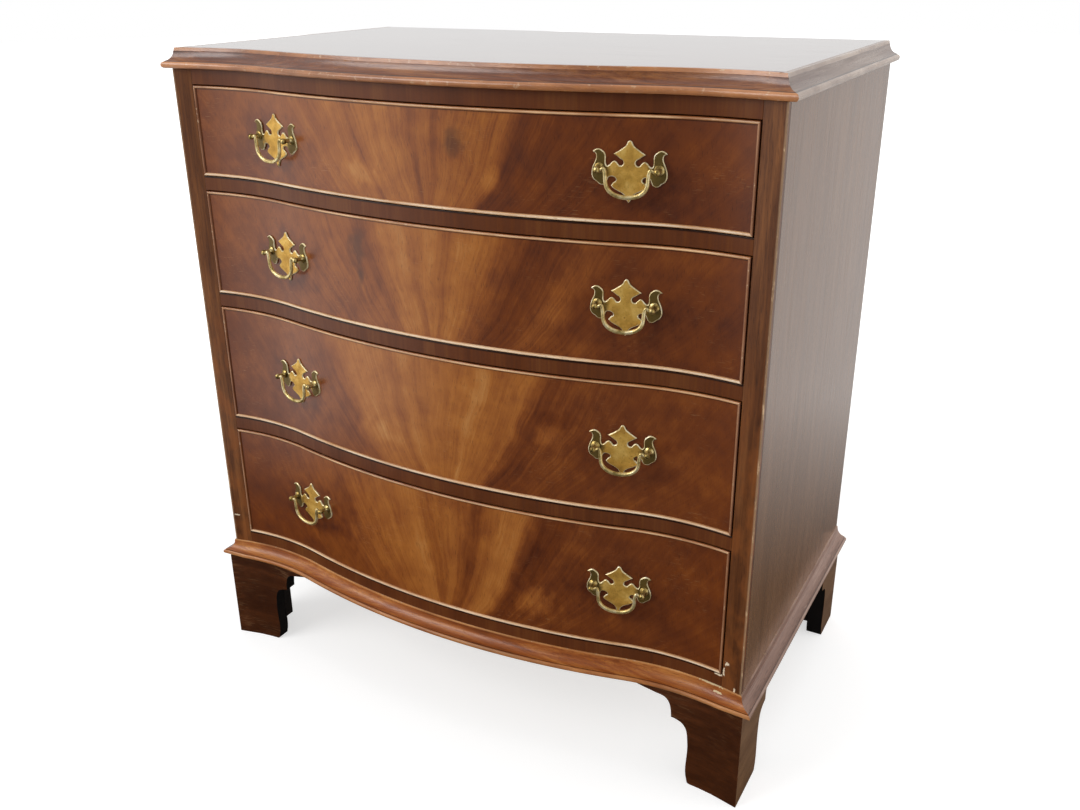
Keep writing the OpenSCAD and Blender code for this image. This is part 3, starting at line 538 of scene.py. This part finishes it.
top_veneer = straight_grain("top_mahogany", ACROSS, 12.0, "6A4430", "7E5540", "926A52", "4A2C1E", 0.12,
                            coat=1.0, width=0.05, pores=0.3, relief=0.0)
top_veneer.node_tree.nodes["Principled BSDF"].inputs["Coat Roughness"].default_value = 0.04
ease("top_board", top_veneer, 0.0002)
top_height = 0.8085
nose_mid, nose_radius = (0.0066, 0.0044), 0.0038
nose_foot, band_foot = (0.0056, 0.0092), (-0.003, 0.02)
# The third numbers lay pale wear with a painted highlight on the nose and top arris, and dirt with painted
# shade in the cove and quirks
top_outline = (
    [(-0.01, 0.0, 0.0)]
    + with_wear_and_shading(arc(nose_mid, nose_radius, -90, 75, 14), 0.75)
    + [(0.0068, 0.0084, -1.0), (*nose_foot, -0.4)]
    + with_wear_and_shading(curve_points(nose_foot, (0.0015, 0.01), (-0.0026, 0.0145), band_foot, 10), -0.38)
    + [(-0.0032, 0.0201, -0.8), (-0.0034, 0.0204, 0.6), (-0.0042, 0.024, 1.0), (-0.01, 0.024, 0.0)])
top_front_wood = moulding_wood("top_moulding_front", ACROSS, 13.0, "4C2614", "7A4427", "A86E42", "DC9862")
top_side_wood = moulding_wood("top_moulding_side", BACKWARDS, 14.0, "74584A", "8A7060", "A28A7A", "CBB8A8")
for name, stations, wood in (("top_strip_front", front_run(), top_front_wood),
                             ("top_strip_left", side_run(-1), top_side_wood),
                             ("top_strip_right", side_run(1), top_side_wood)):
    strip = lay_strip(name, top_outline, stations, moulded(top_height))
    strip.data.materials.append(wood)
    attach(strip, "carcase")
    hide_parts("top_moulding")


# Drawer boxes
# Sides, backs and bottoms of pale hardwood and plywood, dovetailed, housed and grooved together
# and left bare inside.
box_length = straight_grain("drawer_side_wood", BACKWARDS, 15.0, "9A7546", "B48E5C", "CBA877", "7C5A32",
                            0.58, width=0.035)
box_across = straight_grain("drawer_back_wood", ACROSS, 16.0, "96713F", "AF8856", "C6A270", "785629",
                            0.58, width=0.035)
for n in range(1, 5):
    ease(f"drawer_{n}_left_side", box_length, 0)
    ease(f"drawer_{n}_right_side", box_length, 0)
    ease(f"drawer_{n}_back", box_across, 0.0005)
    ease(f"drawer_{n}_bottom", ply_bottom, 0)


# Drawer fronts
# Sawn to the serpentine from the solid and faced with crotch mahogany, cut in sequence from one
# block so that the feather runs up through all four. The finish is an old polish with a soft shine.
mm_per_metre = 1000


def crotch_veneer(name, low, high, seed, bands, patches, stains):
    # Low and high are metres, and all the rest millimetres: x from the middle, and h up from low
    wood, tree, shader = new_finish(name)
    place_x, _, place_z = axes(tree, own_place(tree))
    x = times(tree, place_x, mm_per_metre)
    h = times(tree, minus(tree, place_z, low), mm_per_metre)
    full_height = mm_per_metre * (high - low)
    flat = add(tree, "CombineXYZ", {0: x, 1: h, 2: seed * 50})

    def swing(amount, a, b, shift):
        spread = add(tree, "Mapping", {"Vector": flat, "Location": (shift, shift, 0),
                                       "Scale": (1 / a, 1 / b, 1)})
        return times(tree, minus(tree, noise(tree, spread, 2), 0.5), amount)

    # The rays fan out of the bottom edge: foot is where the ray through a point meets that edge
    bent = plus(tree, plus(tree, x, swing(26, 90, 120, 1.0)), swing(7, 26, 40, 4.0))
    out = calc(tree, "ABSOLUTE", bent)
    focus = plus(tree, times(tree, out, 0.6), 35)
    foot = calc(tree, "DIVIDE", bent, plus(tree, calc(tree, "DIVIDE", h, focus), 1))
    reach = 340
    tone = ramp(tree, between(tree, foot, -reach, reach),
                [((at + reach) / (2 * reach), (grey, grey, grey, 1)) for at, grey in bands])

    # Threads run along the rays, and are strongest in the middle
    inner = between(tree, out, 130, 260, 1.0, 0.45)
    for width, length, shift, gain in ((15, 220, 0, 0.16), (5, 150, 5, 0.22), (1.5, 80, 9, 0.24)):
        thread = add(tree, "CombineXYZ", {0: calc(tree, "DIVIDE", foot, width),
                                          1: calc(tree, "DIVIDE", h, length), 2: seed + shift})
        thread = times(tree, minus(tree, noise(tree, thread, 2, 0.55), 0.5), gain)
        tone = plus(tree, tone, times(tree, thread, inner))
    cloud = plus(tree, swing(0.3, 60, 46, 3.0), swing(0.22, 15, 22, 8.0))
    tone = plus(tree, tone, cloud)

    def oval(centre_x, centre_h, radius_x, radius_h):
        near = add(tree, "VectorMath", {0: flat, 1: (centre_x, centre_h, seed * 50)}, operation="SUBTRACT")
        near = add(tree, "VectorMath", {0: near, 1: (1 / radius_x, 1 / radius_h, 1)}, operation="MULTIPLY")
        near = add(tree, "VectorMath", {0: near}, output=1, operation="LENGTH")
        return between(tree, plus(tree, near, swing(2.2, 14, 20, 6.0)), 1.5, 0.2, curve="SMOOTHSTEP")

    # Old polish and dirt lie dark round the handles, with a painted shadow below the bails
    handle_out, handle_h = 229, full_height / 2 - 8
    patches = patches + [(-handle_out, handle_h, 50, 34, -0.14), (handle_out, handle_h, 50, 34, -0.1)]
    for *patch, gain in patches:
        tone = plus(tree, tone, times(tree, oval(*patch), gain))
    colour = ramp(tree, tone, [(0.0, shade("2C0F04")), (0.2, shade("562407")), (0.36, shade("70350B")),
                               (0.52, shade("8C4B16")), (0.7, shade("A76424")), (0.86, shade("B67A3C")),
                               (1.0, shade("C48E52"))])
    tree.links.new(colour, shader.inputs["Base Color"])
    for stain in stains:
        stained(tree, times(tree, oval(*stain), 0.6), "3A1D14")
    dash = add(tree, "CombineXYZ", {0: calc(tree, "DIVIDE", bent, 0.75), 1: calc(tree, "DIVIDE", h, 7),
                                    2: seed})
    dots = between(tree, noise(tree, dash, 1), 0.6, 0.74, 0, 0.4)
    stained(tree, dots, "2A1106")
    # A painted shadow lies in a dark line under the upper bead
    stained(tree, between(tree, h, full_height - 5.0, full_height - 4.2, 0, 0.6), "2A1106")
    tree.links.new(between(tree, cloud, -0.15, 0.15, 0.38, 0.28), shader.inputs["Roughness"])
    bump = add(tree, "Bump", {"Strength": 0.3, "Distance": 0.0001, "Height": minus(tree, 0, dots)})
    tree.links.new(bump, shader.inputs["Normal"])
    shader.inputs["Specular IOR Level"].default_value = 0.5
    shader.inputs["Coat Weight"].default_value = 0.3
    shader.inputs["Coat Roughness"].default_value = 0.14
    return scratched(wood, 0.28, "B98A5C", seed, (1.0, -0.5, 0.15), 0.01)


# The lower and upper edge of each front, in metres. In its figure, in millimetres, bands are (where the
# ray leaves the lower edge, tone), patches (across, up, half sizes, gain) and stains (across, up, half sizes).
runs = {1: (0.681, 0.7895), 2: (0.529, 0.6615), 3: (0.353, 0.5095), 4: (0.1725, 0.3335)}
figure = {
    1: dict(seed=1.3,
            bands=[(-340, 0.36), (-230, 0.42), (-120, 0.5), (-75, 0.62), (-60, 0.64), (-53, 0.46),
                   (-46, 0.64), (-20, 0.66), (-10, 0.6), (-6, 0.42), (-2, 0.6), (2, 0.6), (4.6, 0.44),
                   (9, 0.6), (30, 0.58), (50, 0.58), (62, 0.26), (80, 0.32), (200, 0.32), (340, 0.3)],
            patches=[(-95, 32, 22, 14, 0.15), (-71, 23, 14, 10, 0.12), (79, 36, 10, 13, 0.16)],
            stains=[(35, 72, 11, 17)]),
    2: dict(seed=2.7,
            bands=[(-340, 0.34), (-220, 0.42), (-120, 0.46), (-60, 0.48), (-42, 0.42), (-36, 0.58),
                   (-10, 0.7), (-6, 0.5), (-2, 0.68), (3, 0.68), (7, 0.52), (12, 0.7), (20, 0.7),
                   (30, 0.58), (48, 0.4), (58, 0.26), (75, 0.32), (95, 0.46), (112, 0.44), (135, 0.32),
                   (158, 0.4), (200, 0.34), (340, 0.28)],
            patches=[(147, 50, 18, 14, 0.1), (-30, 60, 26, 50, 0.06)],
            stains=[(-104, 96, 12, 20), (-101, 62, 5, 15)]),
    3: dict(seed=3.1,
            bands=[(-340, 0.3), (-220, 0.38), (-130, 0.46), (-88, 0.42), (-70, 0.64), (-30, 0.68),
                   (-22, 0.58), (-16, 0.7), (0, 0.66), (14, 0.6), (19, 0.8), (26, 0.66), (50, 0.62),
                   (60, 0.42), (66, 0.32), (84, 0.38), (110, 0.38), (200, 0.38), (340, 0.36)],
            patches=[(-85, 43, 36, 18, 0.12), (140, 81, 15, 11, 0.16), (145, 104, 36, 8, -0.12)],
            stains=[]),
    4: dict(seed=4.4,
            bands=[(-340, 0.34), (-220, 0.34), (-130, 0.42), (-90, 0.5), (-60, 0.56), (-40, 0.56),
                   (-36, 0.68), (-31, 0.58), (-25, 0.68), (-12, 0.68), (-7, 0.54), (0, 0.56), (4, 0.66),
                   (9, 0.54), (15, 0.4), (22, 0.54), (28, 0.7), (46, 0.7), (55, 0.4), (61, 0.25),
                   (70, 0.28), (90, 0.38), (130, 0.34), (340, 0.33)],
            patches=[(122, 44, 24, 19, 0.22), (-163, 90, 22, 46, -0.12)],
            stains=[])}
for n, (low, high) in runs.items():
    ease(f"drawer_{n}_front", crotch_veneer(f"crotch_mahogany_{n}", low, high, **figure[n]), 0)


# Cockbeads
# Four strips of mahogany round each front, let into its edges with a rounded nose standing proud.
# They are mitred at the corners. The nose is rubbed pale and painted with a highlight, most of all
# on the lower beads, which are painted paler as lit from above. Its foot has dirt and painted shade.
bead_width, bead_deep, bead_out, nose_steps = 0.0036, 0.008, 0.0022, 10
front_gap = 0.001
front_half = opening - front_gap
bead_nose = arc((bead_out - bead_width / 2, bead_width / 2), bead_width / 2, -90, 90, nose_steps)
bead_outline = [(-bead_deep, 0.0, 0.0)]
# The middle of the nose is painted pale, as rubbed and as a highlight, and its foot dark with dirt and painted
# shade
for i, (x, y) in enumerate(bead_nose):
    bead_outline.append((x, y, 1.4 * math.sin(math.pi * i / nose_steps) ** 3 - 0.4 if i else -1.0))
bead_outline.append((-bead_deep, bead_width, 0.0))


def level_bead(outer_z, inwards):
    def place(t, edge):
        x = t * (front_half - joint_gap - edge[1])
        return Vector((x, front_y(x) - edge[0], outer_z + inwards * edge[1]))
    return place


def upright_bead(hand, low, high):
    def place(t, edge):
        x = front_half - edge[1]
        z = (low + high) / 2 + t * ((high - low) / 2 - joint_gap - edge[1])
        return Vector((hand * x, front_y(x) - edge[0], z))
    return place


# The lower beads are painted paler than the upper and upright ones: wear, and a painted highlight from light
# above
bead_upper = moulding_wood("cockbead_upper", ACROSS, 17.0, "6E3414", "8C4E24", "AA6C3C", "FCD4A4", 0.1, 0.35)
bead_lower = moulding_wood("cockbead_lower", ACROSS, 18.0, "B47C4A", "D09C6C", "E6BE94", "FFF0D6", 0.1, 0.3)
bead_side = moulding_wood("cockbead_upright", UPRIGHT, 19.0, "56260E", "6C3818", "86502C", "C0906C", 0.1, 0.35)
for n, (low, high) in runs.items():
    for label, place, steps, wood in (("lower", level_bead(low, 1), 100, bead_lower),
                                      ("upper", level_bead(high, -1), 100, bead_upper),
                                      ("left", upright_bead(-1, low, high), 2, bead_side),
                                      ("right", upright_bead(1, low, high), 2, bead_side)):
        stations = [-1 + 2 * i / steps for i in range(steps + 1)]
        strip = lay_strip(f"cockbead_{n}_{label}", bead_outline, stations, place)
        strip.data.materials.append(wood)
        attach(strip, f"drawer_{n}")
        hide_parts(f"drawer_{n}_cockbead")


# Handle posts
# Cast and turned brass posts with a collar, a slim neck and a ball drilled for the bail. Each has
# a screw through the drawer front with a nut inside.
def brass(name, bright, middle, dark, patina, spots, roughness, seed, scale, metallic):
    # Clouds of three colours with spots of patina between them
    metal, tree, shader = new_finish(name)
    cloud = noise(tree, laid(tree, scale, seed), 4, 0.6)
    small = noise(tree, laid(tree, scale * 7, seed + 4), 3, 0.6)
    colour = ramp(tree, cloud, [(0.32, shade(dark)), (0.5, shade(middle)), (0.66, shade(bright))])
    tree.links.new(colour, shader.inputs["Base Color"])
    stained(tree, between(tree, small, 0.6, 0.72, 0.0, spots), patina)
    tree.links.new(between(tree, small, 0.3, 0.75, roughness, roughness + 0.22), shader.inputs["Roughness"])
    bump = add(tree, "Bump", {"Strength": 0.4, "Distance": 0.00008, "Height": small})
    tree.links.new(bump, shader.inputs["Normal"])
    shader.inputs["Metallic"].default_value = metallic
    return metal


post_brass = brass("post_brass", "E8D49A", "BCA05C", "54431F", "2A2410", 0.8, 0.26, 1.0, 160, 0.85)
for n in range(1, 5):
    ease(f"drawer_{n}_posts", post_brass, 0)


# Back plates
# Cut from brass sheet in a willow outline, with a filed bevel all round, painted pale as a highlight.
# The middle stays gold where hands polish it, and the wings are dark with old tarnish.
handle_x, plate_half, plate_clear, post_up = 0.226, 0.039, 0.00002, 0.0025
plate_edge_height, rim_rise, rim_width, handle_drop = 0.0008, 0.0008, 0.0009, 0.0013
facets = 40
laid_x = [-opening + 2 * opening * i / facets for i in range(facets + 1)]


def laid_y(x):
    # The CAD's front has flat facets, on which the plates and the bails sit
    i = min(facets - 1, int((x + opening) / (2 * opening) * facets))
    t = (x - laid_x[i]) / (laid_x[i + 1] - laid_x[i])
    return (1 - t) * front_y(laid_x[i]) + t * front_y(laid_x[i + 1])


chord = [laid_y(handle_x - plate_half), laid_y(handle_x + plate_half)]
slope = (chord[1] - chord[0]) / (2 * plate_half)
handle_turn = math.atan(slope)
handle_y = min([front_y(x) - (x - handle_x) * slope for x in laid_x if abs(x - handle_x) < plate_half]
               + [sum(chord) / 2]) - plate_clear
handle_height = {n: (low + high) / 2 - handle_drop for n, (low, high) in runs.items()}


def at_handle(piece, n, hand):
    piece.data.transform(Matrix.Translation((hand * handle_x, handle_y, handle_height[n]))
                         @ Matrix.Rotation(hand * handle_turn, 4, "Z"))


# The right half of the outline from top to bottom, in millimetres, as Bezier curves end to end
bends = [((0, 30), (2.6, 30), (2.4, 26.8), (4.4, 24.6)), ((8, 21.6), (12, 19.2), (16.2, 16.6)),
         ((12.4, 15), (10.6, 12.6), (7.6, 11.4)), ((4, 8.6), (7, 4), (10.4, 5.6)),
         ((12.4, 8), (14.8, 12.4), (18.4, 8)), ((20, 5.8), (23.6, 1.8), (24.2, 8)),
         ((24.6, 12), (22.6, 16.6), (27.4, 19.4)), ((30.6, 22.4), (34.6, 21.6), (37.6, 18.2)),
         ((32.6, 17.6), (33, 12.4), (35.4, 8)), ((39, 1), (40, -7.6), (34.4, -10.4)),
         ((31.6, -11.4), (30.8, -14.6), (27, -14.2)), ((21.4, -13.8), (23, -6), (19.4, -5.6)),
         ((14.6, -4.6), (11.4, -8.4), (14.2, -10.4)), ((16.4, -10.8), (16.8, -13), (18.4, -14.6)),
         ((15, -19.4), (8, -20), (4.4, -23.6)), ((2, -26), (3.2, -28.6), (0, -31))]
right_edge = [bends[0][0]]
for bend in bends:
    right_edge += curve_points(right_edge[-1], *bend[-3:], 7)
plate_edge = right_edge + [(-x, z) for x, z in reversed(right_edge[1:-1])]

bpy.ops.object.select_all(action="DESELECT")
bpy.ops.mesh.primitive_circle_add(vertices=len(plate_edge), radius=1, fill_type="NGON")
pattern = bpy.context.object
for point, (x, z) in zip(pattern.data.vertices, plate_edge):
    point.co = (x / mm_per_metre, 0, z / mm_per_metre)
bpy.ops.object.mode_set(mode="EDIT")
bpy.ops.mesh.select_all(action="SELECT")
bpy.ops.mesh.extrude_region_move(TRANSFORM_OT_translate={"value": (0, -plate_edge_height, 0)})
bpy.ops.mesh.inset(thickness=rim_width, depth=0)
bpy.ops.transform.translate(value=(0, -rim_rise, 0))
bpy.ops.mesh.select_all(action="SELECT")
bpy.ops.mesh.quads_convert_to_tris(quad_method="BEAUTY", ngon_method="BEAUTY")
bpy.ops.mesh.normals_make_consistent(inside=False)
bpy.ops.object.mode_set(mode="OBJECT")
bpy.ops.object.shade_smooth_by_angle(angle=math.radians(25))
for face in pattern.data.polygons:
    # The first material is on the flat face, and the second, painted pale as a highlight, on the bevel, the
    # edge and the back
    face.material_index = 0 if face.normal.y < -0.98 else 1
# Painted highlight: the bevel's brass is pale cream
rim_brass = brass("plate_rim_brass", "FFF4D2", "F0DEAE", "B8A066", "4A3E20", 0.45, 0.34, 8.0, 140, 0.45)
for n in range(1, 5):
    for hand, side in ((-1, "left"), (1, "right")):
        plate = pattern.copy()
        plate.data = pattern.data.copy()
        plate.name = f"back_plate_{n}_{side}"
        bpy.context.collection.objects.link(plate)
        at_handle(plate, n, hand)
        metal = brass(f"plate_brass_{n}_{side}", "F4CA6E", "DEAE50", "BC8C3C", "8E581F", 0.6, 0.34,
                      n * 3.0 + hand, 60, 0.5)
        # The wings are dark with old tarnish: beside is how far a point is from the plate's middle
        tree = metal.node_tree
        beside = add(tree, "VectorMath", {0: own_place(tree), 1: (hand * handle_x, handle_y, 0)},
                     operation="SUBTRACT")
        beside = add(tree, "VectorMath", {0: beside, 1: (1, hand * slope, 0)}, output=1,
                     operation="DOT_PRODUCT")
        beside = calc(tree, "ABSOLUTE", beside)
        grime = times(tree, noise(tree, laid(tree, 120), 3), 0.012)
        stained(tree, between(tree, plus(tree, beside, grime), 0.024, 0.03, 0.0, 0.9), "54461E")
        plate.data.materials.append(metal)
        plate.data.materials.append(rim_brass)
        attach(plate, f"drawer_{n}")
        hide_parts(f"drawer_{n}_backplates")
bpy.data.objects.remove(pattern)


# Bails
# Cast swan-neck bails whose round ends turn in the posts' balls. The grip is thickest in the
# middle, and its bright brass has small dark spots.
bail_brass = brass("bail_brass", "FBECBE", "E4CC8C", "9A8248", "3A3016", 0.6, 0.26, 3.0, 110, 0.7)
bail_drop, bail_half, ball_x, pin_end = 26, 21.3, 26.75, 2.5
stand_off, thin_wire, thick_wire = 0.013, 0.0015, 0.0023
elbow = (bail_half, -0.39 * bail_drop)
arm = [(ball_x + pin_end, 0.0), (ball_x, 0.0)]
arm += curve_points((ball_x, 0), (ball_x - 2.9, 2.2), (bail_half + 0.7, 4.6), elbow, 9)
arm += curve_points(elbow, (bail_half, -0.78 * bail_drop), (0.59 * bail_half, -bail_drop), (0, -bail_drop), 9)
bail_line = arm + [(-x, z) for x, z in reversed(arm[:-1])]
wire = bpy.data.curves.new("bail_pattern", "CURVE")
wire.dimensions = "3D"
wire.bevel_depth = 1 / mm_per_metre
wire.bevel_resolution = 4
wire.use_fill_caps = True
run = wire.splines.new("POLY")
run.points.add(len(bail_line) - 1)
for i, (point, (x, z)) in enumerate(zip(run.points, bail_line)):
    along = max(0, min(1, (i - 1) / (len(bail_line) - 3)))
    point.co = (x / mm_per_metre, 0, z / mm_per_metre, 1)
    point.radius = mm_per_metre * (thin_wire + (thick_wire - thin_wire) * math.sin(math.pi * along))
bow = bpy.data.objects.new("bail_pattern", wire)
bpy.context.collection.objects.link(bow)
bpy.ops.object.select_all(action="DESELECT")
bow.select_set(True)
bpy.context.view_layer.objects.active = bow
bpy.ops.object.convert(target="MESH")
bow = bpy.context.object
bpy.ops.object.shade_smooth_by_angle(angle=math.radians(50))
for n in range(1, 5):
    for hand, side in ((-1, "left"), (1, "right")):
        bail = bow.copy()
        bail.data = bow.data.copy()
        bail.name = f"bail_{n}_{side}"
        bpy.context.collection.objects.link(bail)
        bail.data.transform(Matrix.Translation((0, -stand_off, post_up)))
        at_handle(bail, n, hand)
        bail.data.materials.append(bail_brass)
        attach(bail, f"bail_{n}_{side}")
        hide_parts(f"drawer_{n}_{side}_bail")
bpy.data.objects.remove(bow)
